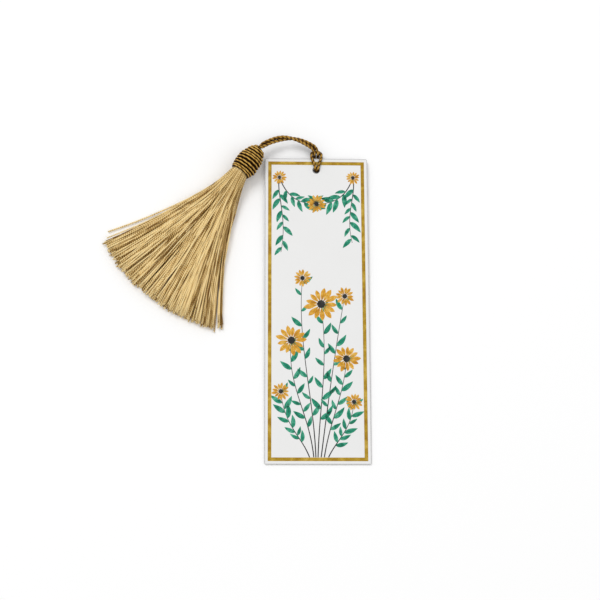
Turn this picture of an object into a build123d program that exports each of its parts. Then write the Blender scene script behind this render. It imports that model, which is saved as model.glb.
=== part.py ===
"""A tasselled card bookmark: a laminated card, a hitched twin cord and a wound-head tassel.

The card lies face up with its lower end at the origin and its length along +Y. A doubled cord
is hitched through the hole at its upper end, arches over to the left and carries the tassel,
which lies on the table beside the card. Millimetres throughout, +Z up from the table.
"""

import os
from math import asin, cos, degrees, exp, pi, radians, sin, sqrt, tan

from build123d import *

# Card: a core board faced on both sides with paper, punched near its upper end
card_width = 50.8
card_length = 152.4
card_corner_radius = 0.8
board_thickness = 0.5
sheet_thickness = 0.1
hole_diameter = 3.6
hole_inset = 6.0
border_inset = 1.6
border_width = 1.7
border_thickness = 0.03

# Cord: one length folded double, with its fold hitched round the card's upper edge
cord_diameter = 1.5
cord_clearance = 0.15
strand_gap = 0.3
edge_clearance = 0.7
edge_bend_radius = 1.0
loop_width = 4.4
loop_shoulder_inset = 0.6
loop_shoulder_drop = 2.0
throat_overhang = 0.3
pivot_gap = 0.1
cord_sides = 5
arc_run_share = 0.45

# Twin cord from the hitch to the head: places in plan from the throat, then the shares of the climb
# and of the twist that the two strands have made round each other by then
arch_route = (
    (0.0, 0.0, 0.00, 0.00),
    (-0.1, 2.0, 0.00, 0.00),
    (-2.2, 3.9, 0.15, 0.16),
    (-6.5, 5.6, 0.30, 0.33),
    (-12.0, 6.4, 0.50, 0.50),
    (-17.5, 6.1, 0.65, 0.67),
    (-22.6, 4.8, 0.85, 0.84),
    (-25.9, 2.6, 1.00, 1.00),
    (-27.5, 0.5, 1.00, 1.00),
)
arch_twist = 270.0
rocker_length = 0.5
rocker_taper = 30.0

# Tassel head: a turned mould wound with cord from its top to its base
head_length = 15.6
head_top_radius = 3.3
head_widest_radius = 6.45
head_widest_place = 9.8
head_base_radius = 5.0
winding_diameter = 1.1
winding_turns = 9.5
winding_sides = 5
winding_seat = 0.02
mould_top_wall = 0.3
mould_steps = 4
turned_sides = 18
bore_clearance = 0.1
knot_seat_depth = 8.1
knot_length = 3.4
knot_radius = 2.4
knot_clearance = 0.2
knot_shoulder_share = 0.3
cup_step = 0.95
cup_radius = 3.0

# Skirt: a hank of threads glued into the mould's cup and fanned out over the table
hank_clearance = 0.1
hank_radius = 4.4
hank_thickness = 1.4
tie_width = 1.2
tie_thickness = 0.3
thread_length = 74.5
thread_edge_margin = 0.3
thread_root_radius = 0.12
thread_tip_radius = 0.25
thread_sides = 3
thread_columns = 20
column_count_share = 0.96
thread_sheets = 5
column_fill_share = 0.5
sheet_stagger_share = 0.25
fan_half_width = 35.5
fan_flare_power = 1.3
fan_drift_share = 0.085
fan_tip_thickness = 2.2
fan_settle_length = 28.0
table_clearance = 0.35
touchdown_length = 15.0
station_shares = (0.28, 1.00)

# Sizes worked out from the values above
card_thickness = board_thickness + 2 * sheet_thickness
cord_radius = cord_diameter / 2
winding_radius = winding_diameter / 2
strand_offset = (cord_diameter + strand_gap) / 2
hole_line = card_length - hole_inset
front_level = card_thickness + cord_clearance + cord_radius
back_level = -cord_clearance - cord_radius
hole_bend_radius = arc_run_share * (front_level - back_level)
edge_line = card_length + edge_clearance + cord_radius
wrap_radius = cord_diameter + cord_clearance
bight_line = edge_line + wrap_radius
throat_level = front_level + wrap_radius
throat_line = bight_line + cord_radius + throat_overhang
bore_radius = strand_offset + cord_radius + bore_clearance

# The cord behind the card props its upper end off the table
card_tilt = asin((cord_clearance + cord_diameter) / (hole_line + hole_bend_radius))
card_plane = Plane(origin=(0, 0, 0), x_dir=(1, 0, 0), z_dir=(0, -sin(card_tilt), cos(card_tilt)))
throat = card_plane.from_local_coords(Vector(0, throat_line, throat_level))
up = Vector(0, 0, 1)


def corner_radii(points):
    """Radius of each inner corner: the largest arc that leaves a tenth of the shorter run straight."""
    radii = []
    for before, corner, after in zip(points, points[1:], points[2:]):
        run_in = Vector(corner) - Vector(before)
        run_out = Vector(after) - Vector(corner)
        half_turn = radians(run_in.get_angle(run_out)) / 2
        radii.append(arc_run_share * min(run_in.length, run_out.length) / tan(half_turn))
    return radii


def report_tube(name, part, path_length, radius, sides, radii):
    """Print a tube's corner radii and its volume beside its section times its length."""
    section = sides / 2 * radius**2 * sin(2 * pi / sides)
    print(f"{name}: radii {[round(r, 2) for r in radii]}")
    print(f"{name}: volume {part.volume:.2f}, section times length {section * path_length:.2f}")


def export(piece, name):
    """Label a finished piece and write it to its own file."""
    piece.part.label = name
    export_step(piece.part, f"parts/{name}.step")


os.makedirs("parts", exist_ok=True)


# Card layers, all of one outline and one hole
def card_layer(base_level, thickness):
    """One layer of the card, from base_level above the card's back face."""
    with BuildPart() as layer:
        with BuildSketch(card_plane.offset(base_level)):
            with Locations((0, card_length / 2)):
                RectangleRounded(card_width, card_length, card_corner_radius)
            with Locations((0, hole_line)):
                Circle(hole_diameter / 2, mode=Mode.SUBTRACT)
        extrude(amount=thickness)
    return layer


back_sheet = card_layer(0, sheet_thickness)
core_board = card_layer(sheet_thickness, board_thickness)
front_sheet = card_layer(sheet_thickness + board_thickness, sheet_thickness)
export(back_sheet, "back_sheet")
export(core_board, "core_board")
export(front_sheet, "front_sheet")

# Gold frame stamped round the front face
with BuildPart() as gold_border:
    with BuildSketch(card_plane.offset(card_thickness)):
        with Locations((0, card_length / 2)):
            Rectangle(card_width - 2 * border_inset, card_length - 2 * border_inset)
            Rectangle(
                card_width - 2 * (border_inset + border_width),
                card_length - 2 * (border_inset + border_width),
                mode=Mode.SUBTRACT,
            )
    extrude(amount=border_thickness)
export(gold_border, "gold_border")

# Hitch: the fold of the cord lies on the front, and its two legs pass through the hole,
# up the back, round the upper edge and out over the fold
left_half = [
    Vector(-strand_offset, throat_line, throat_level),
    Vector(-strand_offset, edge_line, throat_level),
    Vector(-strand_offset, edge_line, back_level),
    Vector(-strand_offset, hole_line, back_level),
    Vector(-strand_offset, hole_line, front_level),
    Vector(-loop_width / 2, bight_line - loop_shoulder_drop, front_level),
    Vector(-loop_width / 2 + loop_shoulder_inset, bight_line, front_level),
]
right_half = [Vector(-point.X, point.Y, point.Z) for point in reversed(left_half)]
hitch_points = [card_plane.from_local_coords(point) for point in left_half + right_half]
hitch_radii = corner_radii(hitch_points)
for place, radius in ((0, wrap_radius), (1, edge_bend_radius), (2, hole_bend_radius), (3, hole_bend_radius)):
    hitch_radii[place] = radius
    hitch_radii[-1 - place] = radius
with BuildPart() as hitch_loop:
    with BuildLine() as hitch_path:
        FilletPolyline(*hitch_points, radius=hitch_radii)
    with BuildSketch(Plane(hitch_points[0], x_dir=(1, 0, 0), z_dir=hitch_points[1] - hitch_points[0])):
        RegularPolygon(cord_radius, cord_sides)
    sweep()
report_tube("hitch_loop", hitch_loop.part, hitch_path.wire().length, cord_radius, cord_sides, hitch_radii)
export(hitch_loop, "hitch_loop")

# Where the arch ends, the tassel's head begins: its axis lies level at the winding's own radius
head_level = head_widest_radius
arch_centres = [
    Vector(throat.X + east, throat.Y + north, throat.Z + climb * (head_level - throat.Z))
    for east, north, climb, _ in arch_route
]
head_axis = (arch_centres[-1] - arch_centres[-2]).normalized()
head_side = head_axis.cross(up)
head_top = arch_centres[-1] + head_axis * (cord_radius + pivot_gap)
head_plane = Plane(origin=head_top, x_dir=up, z_dir=head_axis)


def strand_points(side):
    """Route of one of the two strands, which wind round each other along the arch."""
    points = []
    for place, centre in enumerate(arch_centres):
        ahead = arch_centres[min(place + 1, len(arch_centres) - 1)]
        behind = arch_centres[max(place - 1, 0)]
        across = up.cross(ahead - behind).normalized()
        turn = radians(arch_twist) * arch_route[place][-1]
        points.append(centre + (across * cos(turn) + up * sin(turn)) * strand_offset * side)
    points[0] += (points[1] - points[0]).normalized() * pivot_gap
    return points


# Strands of the arch, each with a tapered end that rocks on the head's top
for strand_name, strand_side in (("cord_strand_left", 1), ("cord_strand_right", -1)):
    route = strand_points(strand_side)
    route_radii = corner_radii(route)
    with BuildPart() as cord_strand:
        with BuildLine() as strand_path:
            FilletPolyline(*route, radius=route_radii)
        with BuildSketch(Plane(route[0], x_dir=up, z_dir=route[1] - route[0])):
            RegularPolygon(cord_radius, cord_sides)
        sweep()
        extrude(faces().sort_by(Axis(route[-1], head_axis))[-1], amount=rocker_length, taper=rocker_taper)
    strand_length = strand_path.wire().length
    report_tube(strand_name, cord_strand.part, strand_length, cord_radius, cord_sides, route_radii)
    export(cord_strand, strand_name)

# Profile that the winding's middle follows: two arcs that meet at the widest place
first_turn_place = winding_radius
last_turn_place = head_length - winding_radius
widest_middle = head_widest_radius - winding_radius


def flank(place, middle_radius):
    """Centre height and radius of the arc from the widest place to a turn at the head's end."""
    reach = place - head_widest_place
    drop = widest_middle - middle_radius
    arc_radius = (reach**2 + drop**2) / (2 * drop)
    return widest_middle - arc_radius, arc_radius


upper_centre, upper_radius = flank(first_turn_place, head_top_radius - winding_radius)
lower_centre, lower_radius = flank(last_turn_place, head_base_radius - winding_radius)


def mould_radius(place):
    """Radius of the mould under the winding, at a place along the axis from the head's top."""
    if place < head_widest_place:
        centre, arc_radius = upper_centre, upper_radius
    else:
        centre, arc_radius = lower_centre, lower_radius
    return centre + sqrt((arc_radius - winding_radius - winding_seat) ** 2 - (place - head_widest_place) ** 2)


def mould_place(radius):
    """Place above the widest one where the mould has this radius."""
    reach = sqrt((upper_radius - winding_radius - winding_seat) ** 2 - (radius - upper_centre) ** 2)
    return head_widest_place - reach


def even_places(start, end):
    """Places at even steps along a flank of the mould, from start to just short of end."""
    return [start + (end - start) * step / mould_steps for step in range(mould_steps)]


def turned_ring(place, radius):
    """Corners of a ring round the head's axis, of a turned piece with flat sides."""
    turns = [2 * pi * corner / turned_sides for corner in range(turned_sides)]
    corners = [Vector(radius * cos(turn), radius * sin(turn), place) for turn in turns]
    return [head_plane.from_local_coords(corner) for corner in corners]


def band_faces(near, far):
    """Flat faces between two rings of corners."""
    outlines = zip(near, near[1:] + near[:1], far[1:] + far[:1], far)
    return [Face(Wire.make_polygon(outline)) for outline in outlines]


def turned_bands(outline):
    """Flat faces of a turned piece, whose outline is given as places along the axis and radii."""
    rings = [turned_ring(place, radius) for place, radius in outline]
    faces = []
    for near, far in zip(rings, rings[1:]):
        faces += band_faces(near, far)
    return faces


def turned_end(place, radius):
    """Flat face that closes a turned piece square to its axis."""
    return Face(Wire.make_polygon(turned_ring(place, radius)))


# Mould: a turned beehive with the cord's bore, a chamber for its knot and a cup for the hank
mould_top_radius = bore_radius + mould_top_wall
mould_top = mould_place(mould_top_radius)
mould_base = last_turn_place
knot_end = knot_seat_depth + knot_length
cup_floor = knot_end + cup_step
knot_chamber_radius = knot_radius + knot_clearance
flank_places = even_places(mould_top, head_widest_place)[1:] + even_places(head_widest_place, mould_base)
mould_outline = [
    (mould_base, mould_radius(mould_base)),
    (mould_base, cup_radius),
    (cup_floor, cup_radius),
    (cup_floor, knot_chamber_radius),
    (knot_seat_depth, knot_chamber_radius),
    (knot_seat_depth, bore_radius),
    (mould_top, bore_radius),
    (mould_top, mould_top_radius),
] + [(place, mould_radius(place)) for place in flank_places]
with BuildPart() as head_mould:
    add(Solid(Shell(turned_bands(mould_outline + mould_outline[:1]))))
print(f"head_mould: volume {head_mould.part.volume:.1f}")
export(head_mould, "head_mould")

# Winding: one cord that spirals down the mould at an even step along its profile
upper_sweep = asin((head_widest_place - first_turn_place) / upper_radius)
lower_sweep = asin((last_turn_place - head_widest_place) / lower_radius)
upper_run = upper_radius * upper_sweep
lower_run = lower_radius * lower_sweep


def winding_point(turn):
    """Middle of the winding's cord after a number of turns."""
    run = (upper_run + lower_run) * turn / winding_turns
    if run < upper_run:
        lean, centre, arc_radius = run / upper_radius - upper_sweep, upper_centre, upper_radius
    else:
        lean, centre, arc_radius = (run - upper_run) / lower_radius, lower_centre, lower_radius
    place = head_widest_place + arc_radius * sin(lean)
    reach = centre + arc_radius * cos(lean)
    return head_plane.from_local_coords(Vector(reach * cos(2 * pi * turn), reach * sin(2 * pi * turn), place))


def winding_direction(turn):
    """Direction of the winding's cord after a number of turns."""
    step_share = 0.001
    return (winding_point(turn + step_share) - winding_point(turn - step_share)).normalized()


def biarc(start, start_direction, end, end_direction):
    """Add two arcs that leave start and reach end along the directions given and meet smoothly."""
    chord = end - start
    both = start_direction + end_direction
    spread = 2 * (1 - start_direction.dot(end_direction))
    along = chord.dot(both)
    handle = (sqrt(along**2 + spread * chord.dot(chord)) - along) / spread
    near = start + start_direction * handle
    far = end - end_direction * handle
    meeting = (near + far) / 2
    TangentArc(start, meeting, tangent=start_direction)
    TangentArc(meeting, end, tangent=far - near)


quarter_turns = [quarter / 4 for quarter in range(round(4 * winding_turns) + 1)]
winding_start = winding_point(0) - winding_direction(0) * winding_diameter
winding_end = winding_point(winding_turns) + winding_direction(winding_turns) * winding_diameter
with BuildPart() as head_winding:
    with BuildLine() as winding_path:
        Line(winding_start, winding_point(0))
        for turn, next_turn in zip(quarter_turns, quarter_turns[1:]):
            biarc(
                winding_point(turn),
                winding_direction(turn),
                winding_point(next_turn),
                winding_direction(next_turn),
            )
        Line(winding_point(winding_turns), winding_end)
    with BuildSketch(Plane(winding_start, x_dir=head_axis, z_dir=winding_direction(0))):
        RegularPolygon(winding_radius, winding_sides)
    sweep()
report_tube("head_winding", head_winding.part, winding_path.wire().length, winding_radius, winding_sides, [])
export(head_winding, "head_winding")

turn_steps = 48
winding_samples = [winding_point(step / turn_steps) for step in range(round(turn_steps * winding_turns) + 1)]
least_gap = min(
    (winding_samples[second] - winding_samples[first]).length
    for first in range(len(winding_samples))
    for second in range(first + turn_steps // 2, len(winding_samples))
)
print(f"head_winding: least gap to itself {least_gap - winding_diameter:.2f}")

# Cord ends in the mould's bore, one above the other, down to their knot
for end_name, end_side in (("cord_end_upper", 1), ("cord_end_lower", -1)):
    with BuildPart() as cord_end:
        with BuildSketch(head_plane):
            with Locations((end_side * strand_offset, 0)):
                RegularPolygon(cord_radius, cord_sides)
        extrude(amount=knot_seat_depth)
    export(cord_end, end_name)

# Stopper knot under the bore
knot_shoulder = knot_shoulder_share * knot_length
knot_outline = [
    (knot_seat_depth, bore_radius),
    (knot_seat_depth + knot_shoulder, knot_radius),
    (knot_end - knot_shoulder, knot_radius),
    (knot_end, bore_radius),
]
knot_ends = [turned_end(*knot_outline[0]), turned_end(*knot_outline[-1])]
with BuildPart() as stopper_knot:
    add(Solid(Shell(turned_bands(knot_outline) + knot_ends)))
print(f"stopper_knot: volume {stopper_knot.part.volume:.1f}")
export(stopper_knot, "stopper_knot")

# Tie: thread bound round the folded hank inside the cup
hank_top = cup_floor + hank_clearance
hank_shoulder = head_length + hank_clearance / 2
hank_base = hank_shoulder + hank_thickness
boss_radius = cup_radius - hank_clearance
tie_top = (hank_top + mould_base - tie_width) / 2
tie_outline = [
    (tie_top, boss_radius),
    (tie_top + tie_width, boss_radius),
    (tie_top + tie_width, boss_radius - tie_thickness),
    (tie_top, boss_radius - tie_thickness),
]
with BuildPart() as hank_tie:
    add(Solid(Shell(turned_bands(tie_outline + tie_outline[:1]))))
print(f"hank_tie: volume {hank_tie.part.volume:.2f}")
export(hank_tie, "hank_tie")

# Hank: the folded threads, bound by the tie and glued into the cup
hank_outline = [
    (hank_top, boss_radius),
    (tie_top, boss_radius),
    (tie_top, boss_radius - tie_thickness),
    (tie_top + tie_width, boss_radius - tie_thickness),
    (tie_top + tie_width, boss_radius),
    (hank_shoulder, boss_radius),
    (hank_shoulder, hank_radius),
    (hank_base, hank_radius),
]

# Fan of threads: they leave the hank's face in columns and spread into thin sheets on the table
root_spread = hank_radius - thread_edge_margin
fan_depth = sqrt(thread_length**2 - fan_half_width**2)
hank_face = head_top + head_axis * hank_base


def thread_layout():
    """Shares that place each thread: across and up at its root, then across and up in the fan.

    The hank's round face is filled in columns. Each column keeps its own part of the fan's width,
    and its threads, from lowest to highest, fill the fan's sheets from lowest to highest.
    """
    middles = [(2 * column + 1) / thread_columns - 1 for column in range(thread_columns)]
    counts = [round(column_count_share * thread_columns * sqrt(1 - middle**2)) for middle in middles]
    layout = []
    for column, (middle, count) in enumerate(zip(middles, counts)):
        sheets = [rank * thread_sheets // count for rank in range(count)]
        for rank, sheet in enumerate(sheets):
            stagger = sheet_stagger_share if sheet % 2 else -sheet_stagger_share
            slot = (rank - sheets.index(sheet) + 0.5 + stagger) / sheets.count(sheet)
            root_across = middle + (2 * slot - 1) * column_fill_share / thread_columns
            root_up = (2 * rank + 1 - count) / thread_columns
            fan_across = 2 * (sum(counts[:column]) + slot * count) / sum(counts) - 1
            fan_up = (2 * sheet + 1) / thread_sheets - 1
            layout.append((root_across, root_up, fan_across, fan_up))
    return layout


def thread_place(forward, root_across, root_up, fan_across, fan_up):
    """A place on a thread, a distance forward of the hank's face.

    The fan widens by a power of that distance, thins out as the threads settle into sheets, and
    its lowest threads come down to the table along a parabola.
    """
    flare = (fan_half_width - hank_radius) * (forward / fan_depth) ** fan_flare_power
    across = root_across * root_spread + fan_across * flare + fan_drift_share * forward
    unsettled = exp(-forward / fan_settle_length)
    thickness = fan_tip_thickness + (2 * root_spread - fan_tip_thickness) * unsettled
    aloft = max(1 - forward / touchdown_length, 0) ** 2
    lowest = table_clearance + (head_level - root_spread - table_clearance) * aloft
    level = root_up * unsettled + fan_up * (1 - unsettled)
    return hank_face + head_axis * forward - head_side * across + up * (
        lowest + thickness * (1 + level) / 2 - head_level
    )


def thread_rings(places):
    """Corners of one thread's sections, which all lie square to the hank's axis."""
    tip_forward = sqrt(thread_length**2 - (places[2] * fan_half_width) ** 2)
    rings = []
    for share in (0,) + station_shares:
        centre = thread_place(share * tip_forward, *places)
        radius = thread_root_radius + (thread_tip_radius - thread_root_radius) * share**2
        turns = [2 * pi * corner / thread_sides for corner in range(thread_sides)]
        rings.append([centre + (up * cos(turn) + head_side * sin(turn)) * radius for turn in turns])
    return rings


def thread_faces(rings):
    """Flat faces of one thread: its sides from ring to ring, and its tip."""
    faces = [Face(Wire.make_polygon(rings[-1]))]
    for near, far in zip(rings, rings[1:]):
        faces += band_faces(near, far)
    return faces


# Threads grow out of the hank's face, so that both are one solid
threads = [thread_rings(places) for places in thread_layout()]
rooted_end = turned_end(*hank_outline[-1]).make_holes([Wire.make_polygon(rings[0]) for rings in threads])
skirt_skin = turned_bands(hank_outline) + [turned_end(*hank_outline[0]), rooted_end]
for rings in threads:
    skirt_skin += thread_faces(rings)
with BuildPart() as skirt_threads:
    add(Solid(Shell(skirt_skin)))
print(f"skirt_threads: {len(threads)} threads, volume {skirt_threads.part.volume:.1f}")
export(skirt_threads, "skirt_threads")

print(f"card tilt {degrees(card_tilt):.3f} degrees")
print(f"throat {tuple(round(value, 3) for value in throat)}")
print(f"head pivot {tuple(round(value, 3) for value in arch_centres[-1])}, axis {tuple(head_axis)}")
print(f"hank face {tuple(round(value, 3) for value in hank_face)}")
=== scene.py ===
"""Looks of a tasselled card bookmark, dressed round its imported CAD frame.

The card keeps its CAD layers and gets paper, board and gold ink, with a printed garland and bouquet
of its own. The cord is made of plies that follow NURBS routes, the head is a plied cord wound on the
mould, and the skirt is a fan of single threads. Lengths are metres in the part's own frame: the
card's lower end at the origin, +Y up the card, +Z up from the table.
"""

import logging
from collections.abc import Callable
from dataclasses import dataclass
from enum import Enum
from typing import Any

import bpy
import numpy as np
from mathutils import Matrix
from numpy.typing import NDArray


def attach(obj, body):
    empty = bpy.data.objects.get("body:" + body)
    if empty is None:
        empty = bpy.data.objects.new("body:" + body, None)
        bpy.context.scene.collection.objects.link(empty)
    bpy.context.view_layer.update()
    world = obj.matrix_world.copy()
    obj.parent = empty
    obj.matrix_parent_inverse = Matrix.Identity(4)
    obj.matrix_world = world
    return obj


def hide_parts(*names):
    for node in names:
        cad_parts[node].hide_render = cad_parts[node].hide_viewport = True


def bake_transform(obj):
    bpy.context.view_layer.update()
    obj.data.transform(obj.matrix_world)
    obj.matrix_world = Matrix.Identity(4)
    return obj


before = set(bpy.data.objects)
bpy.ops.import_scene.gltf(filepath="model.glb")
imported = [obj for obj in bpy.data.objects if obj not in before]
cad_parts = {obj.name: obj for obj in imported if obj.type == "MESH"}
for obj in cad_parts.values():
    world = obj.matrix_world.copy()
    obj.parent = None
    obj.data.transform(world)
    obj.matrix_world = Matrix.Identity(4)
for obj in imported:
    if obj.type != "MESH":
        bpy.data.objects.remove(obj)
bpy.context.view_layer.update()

Array = NDArray[np.float64]
Colour = tuple[float, float, float, float]
Pair = tuple[float, float]
Place = tuple[float, float, float]
Draws = np.random.Generator
MM = 0.001
MIDDLE = 0.5
UP = np.array([0.0, 0.0, 1.0])
GOLDEN_ANGLE = np.pi * (3 - np.sqrt(5))
STRAND_STEP = 173.0  # span of the noise that a piece's strands are spread over
ROUTE_ORDER = 3
ROUTE_RESOLUTION = 16
log = logging.getLogger("bookmark")


class Body(Enum):
    """Bodies of the CAD part that pieces ride on."""

    CARD = "card"
    HITCH = "hitch"
    CORD = "cord"
    TASSEL = "tassel"


def shader_operator(operation: str, reflected: bool = False) -> "Callable[..., Signal]":
    """A method of a signal that adds one Math node.

    Args:
        operation: the Math node's operation.
        reflected: whether the other value comes first.

    Returns:
        The method. It takes the other value where the operation has two.
    """

    def apply(signal: "Signal", *others: "Signal | float") -> "Signal":
        """Add the Math node on the signal and the other value, in their order."""
        values = (*others, signal) if reflected else (signal, *others)
        return signal.sheet.node("ShaderNodeMath", {"operation": operation}, dict(enumerate(values)))

    return apply


class Signal:
    """A shader socket that adds Math nodes when it is used in an expression."""

    __add__ = shader_operator("ADD")
    __radd__ = shader_operator("ADD", reflected=True)
    __sub__ = shader_operator("SUBTRACT")
    __rsub__ = shader_operator("SUBTRACT", reflected=True)
    __mul__ = shader_operator("MULTIPLY")
    __rmul__ = shader_operator("MULTIPLY", reflected=True)
    __abs__ = shader_operator("ABSOLUTE")
    larger = shader_operator("MAXIMUM")
    sine = shader_operator("SINE")

    def __init__(self, sheet: "ShaderSheet", socket: bpy.types.NodeSocket) -> None:
        """Keep the socket and the sheet that its new nodes go on."""
        self.sheet = sheet
        self.socket = socket

    def between(self, low: float, high: float) -> "Signal":
        """Share of the way from low to high, held between 0 and 1 and eased at both ends."""
        limits = {"Value": self, "From Min": low, "From Max": high}
        return self.sheet.node("ShaderNodeMapRange", {"interpolation_type": "SMOOTHSTEP"}, limits)


class ShaderSheet:
    """A node tree that finishes are drawn on."""

    def __init__(self, tree: bpy.types.NodeTree) -> None:
        """Empty the tree and keep it."""
        tree.nodes.clear()
        self.tree = tree

    def node(
        self,
        kind: str,
        settings: dict[str, Any] | None = None,
        inputs: dict[str | int, Any] | None = None,
        output: str | int = 0,
    ) -> Signal | None:
        """Add a node.

        Args:
            kind: Blender's type name of the node.
            settings: its properties, set first; "stops" is a ramp's list of (place, colour).
            inputs: values or links of its sockets.
            output: the socket that is handed back.

        Returns:
            The output socket as a signal, or nothing from a node without outputs.
        """
        made = self.tree.nodes.new(kind)
        for name, value in (settings or {}).items():
            if name == "stops":
                self._set_stops(made.color_ramp.elements, value)
            else:
                setattr(made, name, value)
        for key, value in (inputs or {}).items():
            if isinstance(value, Signal):
                self.tree.links.new(value.socket, made.inputs[key])
            else:
                made.inputs[key].default_value = value
        outputs = made.outputs
        return Signal(self, outputs[output]) if len(outputs) else None

    @staticmethod
    def _set_stops(elements: Any, stops: list[tuple[float, Colour]]) -> None:
        """Give a ramp its stops, of which it has two to begin with."""
        for number, (place, colour) in enumerate(stops):
            stop = elements[number] if number < 2 else elements.new(place)
            stop.position = place
            stop.color = colour

    def mix(self, share: Signal | float, first: Any, second: Any) -> Signal:
        """Colour from first to second by the share; the sockets share names, so they go by number."""
        return self.node("ShaderNodeMix", {"data_type": "RGBA"}, {0: share, 6: first, 7: second}, 2)

    def place(self) -> Signal:
        """Object coordinates, which are the part's own frame."""
        return self.node("ShaderNodeTexCoord", output="Object")

    def axes(self, vector: Signal) -> tuple[Signal, ...]:
        """The three parts of a vector."""
        split = self.node("ShaderNodeSeparateXYZ", inputs={0: vector})
        return tuple(Signal(self, output) for output in split.socket.node.outputs)

    def vector(self, x: Signal | float, y: Signal | float, z: Signal | float) -> Signal:
        """A vector from its three parts."""
        return self.node("ShaderNodeCombineXYZ", inputs={0: x, 1: y, 2: z})

    def noise(self, vector: Signal, size: float, detail: float, roughness: float) -> Signal:
        """Noise with patches of about the size given."""
        inputs = {"Vector": vector, "Scale": 1 / size, "Detail": detail, "Roughness": roughness}
        return self.node("ShaderNodeTexNoise", inputs=inputs)

    def ramp(self, share: Signal, stops: list[tuple[float, Colour]]) -> Signal:
        """Colour ramp over a share."""
        return self.node("ShaderNodeValToRGB", {"stops": stops}, {0: share})

    def bump(self, height: Signal, distance: float) -> Signal:
        """Normal of a surface that is raised by the height times the distance."""
        return self.node("ShaderNodeBump", inputs={"Distance": distance, "Height": height})

    def surface(self, **sockets: Any) -> None:
        """Close the sheet with a Principled surface, whose sockets are named with _ for spaces."""
        inputs = {name.replace("_", " "): value for name, value in sockets.items()}
        shader = self.node("ShaderNodeBsdfPrincipled", inputs=inputs)
        self.node("ShaderNodeOutputMaterial", inputs={"Surface": shader})


@dataclass(frozen=True)
class Finish:
    """A named finish, which draws its own material."""

    name: str

    def draw(self, sheet: ShaderSheet) -> None:
        """Draw the finish on an empty sheet."""
        raise NotImplementedError

    def material(self) -> bpy.types.Material:
        """A new material with the finish drawn on it."""
        material = bpy.data.materials.new(self.name)
        material.use_nodes = True
        self.draw(ShaderSheet(material.node_tree))
        return material


@dataclass(frozen=True)
class TableFinish(Finish):
    """Plain matt white."""

    colour: Colour = (0.985, 0.985, 0.985, 1)
    roughness: float = 0.9

    def draw(self, sheet: ShaderSheet) -> None:
        """An even surface without a highlight."""
        sheet.surface(Base_Color=self.colour, Roughness=self.roughness, Specular_IOR_Level=0.0)


@dataclass(frozen=True)
class PaperFinish(Finish):
    """Smooth card paper: faint clouds, pressed fibres and painted shade along its rim."""

    half_width: float
    half_length: float
    face: Colour = (0.815, 0.815, 0.810, 1)
    cloud: Colour = (0.790, 0.788, 0.780, 1)
    # grey of the painted shade along the rim, and of the paper's specks
    rim: Colour = (0.30, 0.295, 0.285, 1)
    rim_width: float = 0.00065
    rim_overlap: float = 0.3
    rim_share: float = 0.85
    cloud_size: float = 0.018
    cloud_noise: Pair = (3.0, 0.5)
    fibre_size: float = 0.00022
    fibre_stretch: float = 0.45
    fibre_noise: Pair = (5.0, 0.62)
    fibre_relief: float = 0.000006
    speck_limits: Pair = (0.62, 0.85)
    speck_share: float = 0.12
    roughness: float = 0.48
    fibre_roughness: float = 0.16
    rim_roughness: float = 0.2
    specular: float = 0.35

    def draw(self, sheet: ShaderSheet) -> None:
        """Paper whose colour drifts with the clouds and greys at the sheet's rim as painted shade."""
        place = sheet.place()
        across, along, level = sheet.axes(place)
        clouds = sheet.noise(place, self.cloud_size, *self.cloud_noise)
        stretched = sheet.vector(across, along * self.fibre_stretch, level)
        fibres = sheet.noise(stretched, self.fibre_size, *self.fibre_noise)
        past_side = abs(across) - self.half_width
        past_end = abs(along - self.half_length) - self.half_length
        # painted shade: a grey band with a ragged inner edge along the sheet's rim, which is also made
        # rougher
        ragged = past_side.larger(past_end) + (fibres - MIDDLE) * self.rim_width
        shaded_rim = ragged.between(-self.rim_width, self.rim_overlap * self.rim_width)
        specks = fibres.between(*self.speck_limits)
        colour = sheet.mix(clouds, self.face, self.cloud)
        colour = sheet.mix(specks * self.speck_share, colour, self.rim)
        colour = sheet.mix(shaded_rim * self.rim_share, colour, self.rim)
        roughness = self.roughness + (fibres - MIDDLE) * self.fibre_roughness
        sheet.surface(
            Base_Color=colour,
            Roughness=roughness + shaded_rim * self.rim_roughness,
            Normal=sheet.bump(fibres, self.fibre_relief),
            Specular_IOR_Level=self.specular,
        )


@dataclass(frozen=True)
class BoardFinish(Finish):
    """Cut edge of pressed board: thin layers of fibre that run along the edge."""

    pale: Colour = (0.66, 0.65, 0.62, 1)
    grey: Colour = (0.42, 0.41, 0.385, 1)
    layer_thickness: float = 0.00009
    layer_noise: Pair = (4.0, 0.6)
    layer_limits: Pair = (0.3, 0.7)
    fibre_length: float = 0.0016
    relief: float = 0.00002
    roughness: float = 0.75
    roughness_spread: float = 0.2

    def draw(self, sheet: ShaderSheet) -> None:
        """Board whose layers are noise that is long in the plane and thin through it."""
        across, along, level = sheet.axes(sheet.place())
        flatness = self.layer_thickness / self.fibre_length
        flattened = sheet.vector(across * flatness, along * flatness, level)
        layers = sheet.noise(flattened, self.layer_thickness, *self.layer_noise)
        sheet.surface(
            Base_Color=sheet.mix(layers.between(*self.layer_limits), self.grey, self.pale),
            Roughness=self.roughness + layers * self.roughness_spread,
            Normal=sheet.bump(layers, self.relief),
        )


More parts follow.
